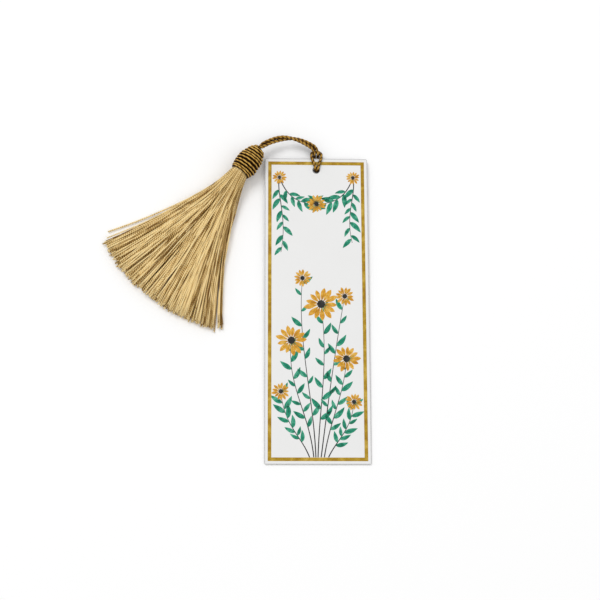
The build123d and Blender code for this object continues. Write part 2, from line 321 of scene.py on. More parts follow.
@dataclass(frozen=True)
class InkFinish(Finish):
    """Printed ink that pools and thins: a ramp of tones over soft patches and a fine grain."""

    deep: Colour
    middle: Colour
    light: Colour
    stops: Place = (0.34, 0.50, 0.66)
    patch_size: float = 0.0035
    patch_noise: Pair = (3.0, 0.55)
    patch_share: float = 0.72
    grain_size: float = 0.00035
    grain_noise: Pair = (4.0, 0.6)
    relief: float = 0.000008
    roughness: float = 0.42
    roughness_spread: float = 0.3
    metallic: float = 0.0
    metal_limits: Pair = (0.4, 0.65)
    specular: float = 0.15

    def draw(self, sheet: ShaderSheet) -> None:
        """Ink that is deep where patch and grain are low and light where they are high."""
        place = sheet.place()
        patches = sheet.noise(place, self.patch_size, *self.patch_noise)
        grain = sheet.noise(place, self.grain_size, *self.grain_noise)
        tone = patches * self.patch_share + grain * (1 - self.patch_share)
        stops = list(zip(self.stops, (self.deep, self.middle, self.light)))
        sheet.surface(
            Base_Color=sheet.ramp(tone, stops),
            Roughness=self.roughness + (grain - MIDDLE) * self.roughness_spread,
            Metallic=self.metallic * tone.between(*self.metal_limits),
            Normal=sheet.bump(grain, self.relief),
            Specular_IOR_Level=self.specular,
        )


@dataclass(frozen=True)
class YarnFinish(Finish):
    """Spun yarn: fibres that run aslant round each ply, and tones that drift along it.

    The UV map holds the distance along the ply in millimetres and the share of a turn round it. The
    attribute
    "tone" is painted shade and highlight, 0 where the yarn lies deep and 1 on its crowns, with the skirt
    threads' own tones mixed in; "strand" tells plies apart.
    """

    dark: Colour
    middle: Colour
    light: Colour
    stops: Place = (0.30, 0.50, 0.70)
    fibre_noise: Pair = (3.0, 0.6)
    fibre_slant: float = 0.9
    fibre_count: float = 26.0
    fibre_length: float = 1.7
    fibre_share: float = 1.0
    fibre_relief: float = 0.00007
    drift_length: float = 2.2
    drift_noise: Pair = (2.0, 0.5)
    drift_share: float = 0.5
    groove_pitch: float = 0.0
    groove_relief: float = 0.0
    groove_share: float = 0.0
    tone_share: float = 0.0
    roughness: float = 0.52
    roughness_spread: float = 0.25
    specular: float = 0.25

    def draw(self, sheet: ShaderSheet) -> None:
        """Yarn with a groove between its own two plies where a groove pitch is given, raised in the bump and
        painted as shade in the colour.
        """
        along, around, _ = sheet.axes(sheet.node("ShaderNodeTexCoord", output="UV"))
        own = sheet.node("ShaderNodeAttribute", {"attribute_name": "tone"}, output="Fac")
        strand = sheet.node("ShaderNodeAttribute", {"attribute_name": "strand"}, output="Fac")
        apart = strand * STRAND_STEP
        slanted = around + along * self.fibre_slant
        fibre_place = sheet.vector(along * (1 / self.fibre_length), slanted * self.fibre_count, apart)
        fibres = sheet.noise(fibre_place, 1.0, *self.fibre_noise)
        drift = sheet.noise(sheet.vector(along, around, apart), self.drift_length, *self.drift_noise)
        tone = MIDDLE + (fibres - MIDDLE) * self.fibre_share
        # the tone attribute brings in its painted shade and highlight here
        tone = tone + (drift - MIDDLE) * self.drift_share + (own - MIDDLE) * self.tone_share
        height = fibres * self.fibre_relief
        if self.groove_pitch:
            turns = along * (1 / self.groove_pitch) + around + apart
            groove = (turns * (2 * np.pi)).sine()
            # painted shade in the groove between the plies and painted highlight on their crowns
            tone = tone + groove * self.groove_share
            height = height + groove * self.groove_relief
        stops = list(zip(self.stops, (self.dark, self.middle, self.light)))
        sheet.surface(
            Base_Color=sheet.ramp(tone, stops),
            Roughness=self.roughness + (fibres - MIDDLE) * self.roughness_spread,
            Normal=sheet.bump(height, 1.0),
            Specular_IOR_Level=self.specular,
        )


@dataclass(frozen=True)
class WoodFinish(Finish):
    """Plain turned wood: dark streaks of grain along the head."""

    dark: Colour = (0.012, 0.005, 0.001, 1)
    pale: Colour = (0.032, 0.015, 0.004, 1)
    grain_size: float = 0.0006
    grain_noise: Pair = (4.0, 0.6)
    grain_limits: Pair = (0.35, 0.65)
    relief: float = 0.00004
    roughness: float = 0.82
    roughness_spread: float = 0.25
    specular: float = 0.03

    def draw(self, sheet: ShaderSheet) -> None:
        """Wood whose grain is noise on the part's own frame."""
        grain = sheet.noise(sheet.place(), self.grain_size, *self.grain_noise)
        sheet.surface(
            Base_Color=sheet.mix(grain.between(*self.grain_limits), self.dark, self.pale),
            Roughness=self.roughness + (grain - MIDDLE) * self.roughness_spread,
            Normal=sheet.bump(grain, self.relief),
            Specular_IOR_Level=self.specular,
        )


BOARD_EDGE = BoardFinish("board_edge")
MOULD_WOOD = WoodFinish("mould_wood")
KNOT_SHADE = WoodFinish("knot_shade", pale=(0.11, 0.06, 0.02, 1))
TIE_SHADE = WoodFinish("tie_shade", pale=(0.30, 0.19, 0.06, 1))
# The yarns' dark and light stops colour the painted shade and painted highlight that the tone attribute
# carries; the skirt's also colour its threads' own tones.
CORD_YARN = YarnFinish(
    name="cord_yarn",
    dark=(0.024, 0.008, 0.0005, 1),
    middle=(0.135, 0.059, 0.004, 1),
    light=(0.480, 0.275, 0.056, 1),
    specular=0.10,
    drift_share=0.7,
    tone_share=0.62,
)
WINDING_YARN = YarnFinish(
    name="winding_yarn",
    dark=(0.024, 0.007, 0.0006, 1),
    middle=(0.185, 0.080, 0.005, 1),
    light=(0.650, 0.400, 0.100, 1),
    drift_share=0.7,
    specular=0.05,
    tone_share=0.74,
)
SKIRT_THREAD = YarnFinish(
    name="skirt_thread",
    dark=(0.165, 0.070, 0.003, 1),
    middle=(0.690, 0.450, 0.138, 1),
    light=(0.960, 0.760, 0.390, 1),
    fibre_slant=0.5,
    fibre_count=8.0,
    fibre_share=0.5,
    fibre_relief=0.00001,
    drift_length=6.0,
    drift_share=0.85,
    groove_pitch=1.05,
    groove_relief=0.00004,
    groove_share=0.18,
    tone_share=0.55,
    roughness=0.5,
)
GOLD_INK = InkFinish(
    name="gold_ink",
    deep=(0.300, 0.150, 0.006, 1),
    middle=(0.405, 0.252, 0.018, 1),
    light=(0.550, 0.380, 0.080, 1),
    metallic=0.25,
)
LEAF_INK = InkFinish(
    name="leaf_ink",
    deep=(0.004, 0.130, 0.075, 1),
    middle=(0.012, 0.260, 0.150, 1),
    light=(0.120, 0.470, 0.310, 1),
    patch_size=0.0022,
)
BLOOM_INK = InkFinish(
    name="bloom_ink",
    deep=(0.480, 0.200, 0.015, 1),
    middle=(0.680, 0.340, 0.030, 1),
    light=(0.800, 0.520, 0.130, 1),
    patch_size=0.002,
)
LINE_INK = InkFinish(
    name="line_ink",
    deep=(0.012, 0.012, 0.012, 1),
    middle=(0.025, 0.025, 0.024, 1),
    light=(0.060, 0.060, 0.058, 1),
)


def dress(piece: bpy.types.Object, finish: Finish) -> None:
    """Give a piece its finish."""
    material = finish.material()
    piece.data.materials.clear()
    piece.data.materials.append(material)
    log.info("%s: dressed in %s", piece.name, material.name)


def add_object(name: str, data: bpy.types.ID) -> bpy.types.Object:
    """A new object with the data given, in the scene's own collection."""
    made = bpy.data.objects.new(name, data)
    bpy.context.scene.collection.objects.link(made)
    return made


def unit(vectors: Array) -> Array:
    """Vectors of length 1 along those given."""
    return vectors / np.linalg.norm(vectors, axis=-1, keepdims=True)


def tube_mesh(name: str, rings: Array, along: Array, tone: Array, smooth: bool = True) -> bpy.types.Object:
    """Closed tubes, each a row of rings joined by quads and shut by a face at both ends.

    Args:
        name: name of the piece.
        rings: corners, as tubes by stations by corners by 3; they turn from normal to binormal.
        along: distance along each tube, as tubes by stations.
        tone: a number for each tube or each corner, kept as the attribute "tone".
        smooth: whether faces are shaded smooth.

    Returns:
        The piece. Its UV map holds millimetres along and the share of a turn round the tube.
    """
    tubes, stations, sides, _ = rings.shape
    index = np.arange(tubes * stations * sides).reshape(tubes, stations, sides)
    following = np.roll(index, -1, axis=2)
    square = [index[:, :-1], following[:, :-1], following[:, 1:], index[:, 1:]]
    quads = np.stack(square, axis=-1).reshape(-1, 4)
    caps = np.concatenate([index[:, 0, ::-1], index[:, -1]]).reshape(-1, sides)
    corners = np.concatenate([quads.ravel(), caps.ravel()])
    sizes = np.concatenate([np.full(len(quads), 4), np.full(len(caps), sides)])

    turn = np.broadcast_to(np.arange(sides) / sides, index.shape)
    turn_on = turn + 1 / sides
    reach = np.broadcast_to(along[:, :, None] / MM, index.shape)
    quad_u = np.stack([reach[:, :-1], reach[:, :-1], reach[:, 1:], reach[:, 1:]], axis=-1)
    quad_v = np.stack([turn[:, :-1], turn_on[:, :-1], turn_on[:, 1:], turn[:, 1:]], axis=-1)
    uv = np.stack(
        [
            np.concatenate([quad_u.ravel(), reach.ravel()[caps.ravel()]]),
            np.concatenate([quad_v.ravel(), turn.ravel()[caps.ravel()]]),
        ],
        axis=-1,
    )

    mesh = bpy.data.meshes.new(name)
    mesh.vertices.add(index.size)
    mesh.vertices.foreach_set("co", rings.astype(np.float32).ravel())
    mesh.loops.add(len(corners))
    mesh.loops.foreach_set("vertex_index", corners.astype(np.int32))
    mesh.polygons.add(len(sizes))
    mesh.polygons.foreach_set("loop_start", (np.cumsum(sizes) - sizes).astype(np.int32))
    mesh.update(calc_edges=True)
    mesh.polygons.foreach_set("use_smooth", np.full(len(sizes), smooth))
    mesh.uv_layers.new(name="along_and_round").data.foreach_set("uv", uv.astype(np.float32).ravel())
    every = np.reshape(tone, np.shape(tone) + (1,) * (3 - np.ndim(tone)))
    number = np.arange(tubes)[:, None, None] / tubes
    for title, values in (("tone", every), ("strand", number)):
        spread = np.broadcast_to(values, index.shape).astype(np.float32)
        mesh.attributes.new(title, "FLOAT", "POINT").data.foreach_set("value", spread.ravel())
    mesh.validate()
    log.info("%s: %d faces", name, len(sizes))
    return add_object(name, mesh)


def run_lengths(points: Array) -> Array:
    """Distance along each line of points from its first one."""
    steps = np.linalg.norm(np.diff(points, axis=-2), axis=-1)
    return np.concatenate([np.zeros(steps.shape[:-1] + (1,)), np.cumsum(steps, axis=-1)], axis=-1)


def section_axes(points: Array, reference: Array) -> tuple[Array, Array]:
    """Normals and binormals along lines, the binormals square to the line and to the reference."""
    tangent = unit(np.gradient(points, axis=-2))
    binormal = unit(np.cross(tangent, reference))
    return np.cross(binormal, tangent), binormal


def between_points(points: Array, run: Array, places: Array) -> Array:
    """Points of a line at the places given, straight between its own points at their run."""
    return np.stack([np.interp(places, run, points[:, axis]) for axis in range(3)], axis=-1)


def round_rings(points: Array, radii: Array, reference: Array, sides: int) -> Array:
    """Round sections along lines: circles in the plane of each line's normal and binormal.

    Args:
        points: lines by stations by 3.
        radii: lines by stations.
        reference: a direction that no line runs along.
        sides: corners of a section.

    Returns:
        Corners, as lines by stations by sides by 3.
    """
    normal, binormal = section_axes(points, reference)
    turn = 2 * np.pi * np.arange(sides)[:, None] / sides
    circle = normal[..., None, :] * np.cos(turn) + binormal[..., None, :] * np.sin(turn)
    return points[..., None, :] + circle * radii[..., None, None]


def route_line(name: str, controls: Array, step: float) -> Array:
    """Even points along the NURBS spline that has the route's points as its control points.

    Args:
        name: name of the curve that is read and removed again.
        controls: the route's points.
        step: distance between the points handed back.

    Returns:
        Points along the spline, from its first control point to its last.
    """
    curve = bpy.data.curves.new(name, "CURVE")
    curve.dimensions = "3D"
    curve.resolution_u = ROUTE_RESOLUTION
    spline = curve.splines.new("NURBS")
    spline.points.add(len(controls) - 1)
    weighted = np.concatenate([controls, np.ones((len(controls), 1))], axis=1)
    spline.points.foreach_set("co", weighted.astype(np.float32).ravel())
    spline.order_u = ROUTE_ORDER
    spline.use_endpoint_u = True
    holder = add_object(name, curve)
    mesh = bpy.data.meshes.new_from_object(holder)
    read = np.empty(len(mesh.vertices) * 3, np.float32)
    mesh.vertices.foreach_get("co", read)
    bpy.data.objects.remove(holder)
    bpy.data.curves.remove(curve)
    bpy.data.meshes.remove(mesh)
    points = read.reshape(-1, 3).astype(float)
    run = run_lengths(points)
    places = np.linspace(0, run[-1], max(int(round(run[-1] / step)), 2) + 1)
    return between_points(points, run, places)


@dataclass(frozen=True)
class PliedCord:
    """How a cord is laid up: round plies that wind about each other along a line."""

    ply_radius: float = 0.00064
    ply_offset: float = 0.00022
    twist_pitch: float = 0.0042
    plies: int = 2
    sides: int = 10
    step: float = 0.00026
    # groove_share and side_shade set the painted shade in the grooves, on the flanks and on the far side
    groove_share: float = 0.66
    side_shade: float = 0.24
    tips: Pair = (1.0, 1.0)
    tip_inset: float = 0.98

    def piece(
        self, name: str, line: Array, reference: Array, outward: Array | None = None
    ) -> bpy.types.Object:
        """Plies along a line, round at its ends: they go round it once in every twist pitch.

        Args:
            name: name of the piece.
            line: even points along the cord's middle.
            reference: a direction that the line never runs along.
            outward: at each point, the direction away from what the cord lies on or against, which the
                painted highlight faces.

        Returns:
            The piece, one mesh with all the plies. Its tone is painted light and shade: 1 as a painted
            highlight on the crowns and 0 as painted shade in the grooves, and it falls by the side shade on
            the flanks and on the side that faces away.
        """
        normal, binormal = section_axes(line, reference)
        run = run_lengths(line)
        turn = 2 * np.pi * (run / self.twist_pitch + np.arange(self.plies)[:, None] / self.plies)
        outside = self.ply_offset + self.ply_radius
        first_tip, last_tip = self.tips
        from_end = np.minimum(run / first_tip, (run[-1] - run) / last_tip)
        inset = np.clip(1 - from_end / outside, 0, self.tip_inset)
        swell = np.sqrt(1 - inset**2)
        spokes = np.cos(turn)[..., None] * normal + np.sin(turn)[..., None] * binormal
        middles = line + (self.ply_offset * swell)[:, None] * spokes
        radii = np.broadcast_to(self.ply_radius * swell, middles.shape[:2])
        rings = round_rings(middles, radii, reference, self.sides)
        # painted shade and highlight: the tone is light on the crowns and dark in the grooves, on the flanks
        # and on the side away from outward
        offset = (rings - line[:, None]) / outside
        size = np.linalg.norm(offset, axis=-1)
        facing = size
        if outward is not None:
            facing = np.maximum((offset * outward[:, None]).sum(axis=-1), 0)
        reach = size + (facing - size) * self.side_shade
        tone = np.clip((reach - self.groove_share) / (1 - self.groove_share), 0, 1)
        return tube_mesh(name, rings, np.broadcast_to(run, middles.shape[:2]), tone)


TIGHT_LAY = PliedCord(ply_radius=0.00060, ply_offset=0.00017, groove_share=0.72)


@dataclass(frozen=True)
class Card:
    """The laminated card, propped at its upper end by the cord behind it."""

    half_width: float = 0.0254
    length: float = 0.1524
    thickness: float = 0.0007
    tilt: float = 0.011185

    def lift(self, local: Array) -> Array:
        """Places on the card turned into the part's frame, by the card's tilt about its lower end."""
        turn = np.array(
            [
                [1, 0, 0],
                [0, np.cos(self.tilt), -np.sin(self.tilt)],
                [0, np.sin(self.tilt), np.cos(self.tilt)],
            ]
        )
        return local @ turn.T

    def build(self) -> None:
        """Dress the CAD layers of the card."""
        for face in ("front", "back"):
            paper = PaperFinish(f"{face}_paper", self.half_width, self.length / 2)
            dress(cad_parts[f"{face}_sheet"], paper)
        dress(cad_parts["core_board"], BOARD_EDGE)
        dress(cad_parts["gold_border"], GOLD_INK)


@dataclass(frozen=True)
class Print:
    """The printed picture: a leafy garland over a bouquet of simple daisies, in three inks.

    Every mark is a flat stroke that follows a line on the card, with its own width along it. Tables
    are in millimetres on the card: stems as cubic curves of four points, blooms as place and radius.
    """

    card: Card
    ink_thickness: float = 0.000012
    stations: int = 9
    stem_stations: int = 24
    stem_half_width: float = 0.00024
    stem_taper: Pair = (1.15, 0.45)
    leaves_on_stem: int = 11
    leaf_places: Pair = (0.24, 0.97)
    leaf_shift: float = 0.02
    leaf_lean: Pair = (0.65, 1.05)
    leaf_length: Pair = (0.0046, 0.0074)
    leaf_bend: Pair = (0.05, 0.3)
    leaf_form: Place = (0.8, 0.9, 0.02)
    leaf_width_share: float = 0.17
    line_half_width: float = 0.00007
    rib_share: float = 0.86
    rib_root: float = 1.2
    petals: int = 13
    petal_shift: float = 0.12
    petal_reach: Pair = (0.86, 1.06)
    petal_root: float = 0.2
    petal_bend: float = 0.08
    petal_form: Place = (1.35, 0.8, 0.05)
    petal_width_share: float = 0.14
    crease_share: float = 0.62
    crease_root: float = 1.1
    heart_share: float = 0.24
    heart_edge: float = 0.004
    bouquet: tuple[tuple[float, ...], ...] = (
        (-2.0, 3.4, -4.0, 25.0, -15.0, 38.0, -12.5, 60.0),
        (0.0, 3.4, 1.0, 30.0, 5.5, 48.0, 2.0, 78.0),
        (3.0, 3.4, 6.0, 22.0, 13.0, 34.0, 14.0, 51.0),
        (-4.0, 3.4, -8.0, 14.0, -16.0, 18.0, -17.6, 35.0),
        (5.0, 3.4, 9.0, 12.0, 16.0, 16.0, 17.4, 30.0),
        (-1.0, 3.4, -2.0, 34.0, -10.0, 60.0, -7.0, 91.0),
        (1.5, 3.4, 5.0, 30.0, 9.0, 58.0, 13.5, 82.0),
    )
    blooms: tuple[Place, ...] = (
        (-12.5, 60.0, 7.4),
        (2.0, 78.0, 8.2),
        (14.0, 51.0, 6.8),
        (-7.0, 91.0, 4.4),
        (13.5, 82.0, 4.8),
        (-17.6, 35.0, 4.4),
        (17.4, 30.0, 4.2),
        (-18.2, 142.6, 3.6),
        (18.2, 142.6, 3.6),
        (0.0, 128.9, 4.8),
    )
    garland: tuple[tuple[float, ...], ...] = (
        (-18.2, 142.6, -14.0, 130.0, -6.0, 129.0, 0.0, 128.9),
        (18.2, 142.6, 14.0, 130.0, 6.0, 129.0, 0.0, 128.9),
        (-18.2, 142.6, -20.0, 134.0, -14.0, 122.0, -17.5, 104.0),
        (18.2, 142.6, 20.0, 134.0, 14.0, 124.0, 17.5, 109.0),
    )
    seed: int = 11

    def curve(self, table: Array, share: Array) -> tuple[Array, Array]:
        """Points and directions on cubic curves, by the Bernstein sums of their four points.

        Args:
            table: curves by 8, four points each.
            share: shares of the way along, one row for all the curves or one row each.

        Returns:
            Points and unit directions, curves by shares by 2.
        """
        points = table.reshape(-1, 4, 1, 2)
        t = np.broadcast_to(share, (len(table), np.shape(share)[-1]))[..., None]
        s = 1 - t
        start, rise, fall, end = np.moveaxis(points, 1, 0)
        where = start * s**3 + 3 * rise * s**2 * t + 3 * fall * s * t**2 + end * t**3
        heading = (rise - start) * s**2 + 2 * (fall - rise) * s * t + (end - fall) * t**2
        return where, unit(heading)

    def strokes(
        self,
        name: str,
        ink: InkFinish,
        layer: int,
        lines: Array,
        half_widths: Array,
        rng: Draws,
    ) -> None:
        """Flat strokes of ink on the card: oblong sections along each line.

        Args:
            name: name of the piece.
            ink: finish of the piece.
            layer: how many inks lie under this one.
            lines: strokes by stations by 2, on the card.
            half_widths: strokes by stations.
            rng: source of each stroke's tone.
        """
        heading = unit(np.gradient(lines, axis=1))
        left = np.stack([-heading[..., 1], heading[..., 0]], axis=-1)
        sides = np.array([1.0, 1.0, -1.0, -1.0])
        tops = np.array([0.0, 1.0, 1.0, 0.0])
        flat = lines[:, :, None] + left[:, :, None] * half_widths[..., None, None] * sides[:, None]
        base = self.card.thickness + layer * self.ink_thickness
        height = np.broadcast_to(base + tops * self.ink_thickness, flat.shape[:3])
        rings = self.card.lift(np.concatenate([flat, height[..., None]], axis=-1))
        piece = tube_mesh(name, rings, run_lengths(lines), rng.random(len(lines)), smooth=False)
        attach(piece, Body.CARD.value)
        dress(piece, ink)

    def leaf_lines(self, base: Array, heading: Array, length: Array, bend: Array) -> Array:
        """Middle lines of leaves: straight along the heading, bent sideways by the share's square."""
        share = np.linspace(0, 1, self.stations)[:, None]
        sideways = np.stack([-heading[:, 1], heading[:, 0]], axis=-1)
        bent = heading[:, None] * share + bend[:, None, None] * sideways[:, None] * share**2
        return base[:, None] + length[:, None, None] * bent

    def leaf_width(self, form: Place) -> Array:
        """Width along a leaf: a power of the sine of a power of the share, and a blunt end."""
        place_power, width_power, blunt = form
        share = np.linspace(0, 1, self.stations)
        return np.sin(np.pi * share**place_power) ** width_power + blunt

    def line_widths(self, root: float, count: int) -> Array:
        """Half widths of thin lines that narrow evenly from the root."""
        narrowing = root - np.linspace(0, 1, self.stations)
        return self.line_half_width * np.broadcast_to(narrowing, (count, self.stations))

    def print_stems(self, rng: Draws, stems: Array) -> None:
        """Print black stems along the curves, thinner towards their tips."""
        lines, _ = self.curve(stems, np.linspace(0, 1, self.stem_stations))
        taper = np.linspace(*self.stem_taper, self.stem_stations)
        half_widths = self.stem_half_width * np.broadcast_to(taper, lines.shape[:2])
        self.strokes("print_stems", LINE_INK, 0, lines, half_widths, rng)

    def print_leaves(self, rng: Draws, stems: Array) -> None:
        """Print leaves on either side of the stems in turn, each with a black rib."""
        every = (len(stems), self.leaves_on_stem)
        along = np.linspace(*self.leaf_places, self.leaves_on_stem)
        along = along + rng.uniform(-self.leaf_shift, self.leaf_shift, every)
        base, heading = self.curve(stems, along)
        base = base.reshape(-1, 2)
        side = np.where(np.arange(self.leaves_on_stem) % 2, 1.0, -1.0)
        lean = side * rng.uniform(*self.leaf_lean, every)
        turned = np.stack(
            [
                heading[..., 0] * np.cos(lean) - heading[..., 1] * np.sin(lean),
                heading[..., 0] * np.sin(lean) + heading[..., 1] * np.cos(lean),
            ],
            axis=-1,
        ).reshape(-1, 2)
        length = rng.uniform(*self.leaf_length, len(turned))
        bend = -np.tile(side, len(stems)) * rng.uniform(*self.leaf_bend, len(turned))
        leaves = self.leaf_lines(base, turned, length, bend)
        half_widths = self.leaf_width_share * length[:, None] * self.leaf_width(self.leaf_form)
        self.strokes("print_leaves", LEAF_INK, 1, leaves, half_widths, rng)
        ribs = self.leaf_lines(base, turned, self.rib_share * length, self.rib_share * bend)
        self.strokes("print_ribs", LINE_INK, 2, ribs, self.line_widths(self.rib_root, len(ribs)), rng)

    def print_blooms(self, rng: Draws, blooms: Array) -> None:
        """Print petals round each bloom's place, a crease on each, and the blooms' black hearts."""
        shift = rng.uniform(-self.petal_shift, self.petal_shift, (len(blooms), self.petals))
        turn = 2 * np.pi * (np.arange(self.petals) + shift) / self.petals
        ray = np.stack([np.cos(turn), np.sin(turn)], axis=-1).reshape(-1, 2)
        reach = np.repeat(blooms[:, 2], self.petals) * rng.uniform(*self.petal_reach, len(ray))
        root = np.repeat(blooms[:, :2], self.petals, axis=0) + ray * reach[:, None] * self.petal_root
        bend = rng.uniform(-self.petal_bend, self.petal_bend, len(ray))
        petals = self.leaf_lines(root, ray, (1 - self.petal_root) * reach, bend)
        half_widths = self.petal_width_share * reach[:, None] * self.leaf_width(self.petal_form)
        self.strokes("print_petals", BLOOM_INK, 2, petals, half_widths, rng)
        creases = self.leaf_lines(root, ray, self.crease_share * reach, bend)
        half_widths = self.line_widths(self.crease_root, len(creases))
        self.strokes("print_creases", LINE_INK, 3, creases, half_widths, rng)
        disc = np.linspace(-1, 1, self.stations)
        radius = self.heart_share * blooms[:, 2:]
        hearts = blooms[:, None, :2] + radius[:, None] * np.stack([disc, 0 * disc], axis=-1)
        half_widths = radius * np.sqrt(np.clip(1 - disc**2, self.heart_edge, 1))
        self.strokes("print_hearts", LINE_INK, 4, hearts, half_widths, rng)

    def build(self) -> None:
        """Print stems, leaves and blooms, with draws from one source in that order."""
        rng = np.random.default_rng(self.seed)
        stems = np.array(self.bouquet + self.garland) * MM
        self.print_stems(rng, stems)
        self.print_leaves(rng, stems)
        self.print_blooms(rng, np.array(self.blooms) * MM)


@dataclass(frozen=True)
class HangingCord:
    """The doubled cord: hitched round the card's upper edge, then two strands that arch to the head.

    The hitch's places are on the card; the arch's are in plan from the throat, with the shares of the
    climb and of the twist that the two strands have made round each other by then.
    """

    card: Card
    lay: PliedCord = PliedCord(tips=(1.0, 0.35))
    hitch_lay: PliedCord = TIGHT_LAY
    diameter: float = 0.0015
    strand_offset: float = 0.00080
    strand_length: float = 0.0315
    throat: Place = (0.0, 0.156504, 0.005001)
    head_level: float = 0.00645
    arch_twist: float = 270.0
    # crown_lift turns the strands' painted highlight towards the top
    crown_lift: float = 1.2
    blend_start: Place = (0.000225, 0.155633, 0.005001)
    blend_end: Place = (-0.000450, 0.158247, 0.005001)
    hitch_reference: Place = (1.0, 0.0, 1.0)
    hitch_half: tuple[Place, ...] = (
        (-0.00080, 0.15655, 0.00325),
        (-0.00090, 0.15390, 0.00325),
        (-0.00090, 0.15380, 0.00060),
        (-0.00090, 0.15370, -0.00062),
        (-0.00090, 0.15290, -0.00081),
        (-0.00080, 0.15000, -0.00081),
        (-0.00070, 0.14800, -0.00081),
        (-0.00060, 0.14630, -0.00081),
        (-0.00060, 0.14620, 0.00155),
        (-0.00095, 0.14900, 0.00155),
        (-0.00265, 0.15300, 0.00155),
        (-0.00210, 0.15560, 0.00155),
    )
    tip_lean: float = 0.00035
    throat_lean: float = -0.0007
    leg_level: float = 0.0030
    leg_foot: float = 0.1535
    arch_route: tuple[tuple[float, float, float, float], ...] = (
        (-0.00046, -0.0010, 0.00, 0.00),
        (-0.00070, 0.0000, 0.00, 0.00),
        (-0.0016, 0.0010, 0.04, 0.02),
        (-0.0035, 0.0022, 0.12, 0.05),
        (-0.0063, 0.00365, 0.22, 0.10),
        (-0.0091, 0.0047, 0.34, 0.17),
        (-0.0122, 0.00535, 0.46, 0.27),
        (-0.0154, 0.00542, 0.58, 0.42),
        (-0.0185, 0.0049, 0.70, 0.55),
        (-0.0213, 0.0040, 0.80, 0.63),
        (-0.0238, 0.0029, 0.90, 0.70),
        (-0.0259, 0.0017, 1.00, 0.70),
        (-0.0275, 0.0005, 1.00, 0.80),
        (-0.0280, -0.0001, 1.00, 1.00),
    )

    def hitch_line(self) -> Array:
        """Middle of the hitch: its left half on the card, then the same mirrored.

        The tip leans one way by the distance down, and the legs over the edge lean to the arch.
        """
        left = np.array(self.hitch_half)
        right = left[::-1] * np.array([-1.0, 1.0, 1.0])
        local = np.concatenate([left, right])
        place, level = local[:, 1], local[:, 2]
        top, tip = place.max(), place.min()
        up_leg = np.clip((place - self.leg_foot) / (top - self.leg_foot), 0, 1) * (level > self.leg_level)
        local[:, 0] += self.tip_lean * (top - place) / (top - tip) + self.throat_lean * up_leg
        return route_line("hitch_route", self.card.lift(local), self.lay.step)

    def strand_line(self, side: int) -> Array:
        """Middle of one strand, offset from the arch's middle by the twist that it has made there."""
        east, north, climb, twist = np.array(self.arch_route).T
        rise = self.head_level - self.throat[2]
        middle = np.array(self.throat) + np.stack([east, north, climb * rise], axis=-1)
        padded = np.concatenate([middle[:1], middle, middle[-1:]])
        across = unit(np.cross(UP, padded[2:] - padded[:-2]))
        turn = np.radians(self.arch_twist) * twist[:, None]
        offset = (across * np.cos(turn) + UP * np.sin(turn)) * self.strand_offset * side
        return route_line("strand_route", middle + offset, self.lay.step)

    def away(self, line: Array, partner: Array) -> Array:
        """Direction at each point of a strand that leads up and away from its partner, which its painted
        highlight faces.
        """
        share = np.linspace(0, 1, len(line))
        partner_share = np.linspace(0, 1, len(partner))
        beside = between_points(partner, partner_share, share)
        return unit(unit(line - beside) + self.crown_lift * UP)

    def build(self) -> None:
        line = self.hitch_line()
        reference = unit(np.array(self.hitch_reference))
        # painted light: the hitch's tone is lighter on its tops and darker as painted shade on its
        # undersides
        upward = np.broadcast_to(UP, line.shape)
        hitch = self.hitch_lay.piece("hitch_cord", line, reference, upward)
        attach(hitch, Body.HITCH.value)
        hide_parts("hitch_loop")
        dress(hitch, CORD_YARN)
        lines = {"left": self.strand_line(1), "right": self.strand_line(-1)}
        for name, partner in (("left", "right"), ("right", "left")):
            line = lines[name]
            strand = self.lay.piece(f"strand_{name}", line, UP, self.away(line, lines[partner]))
            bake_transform(strand)
            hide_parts(f"cord_strand_{name}")
            dress(strand, CORD_YARN)


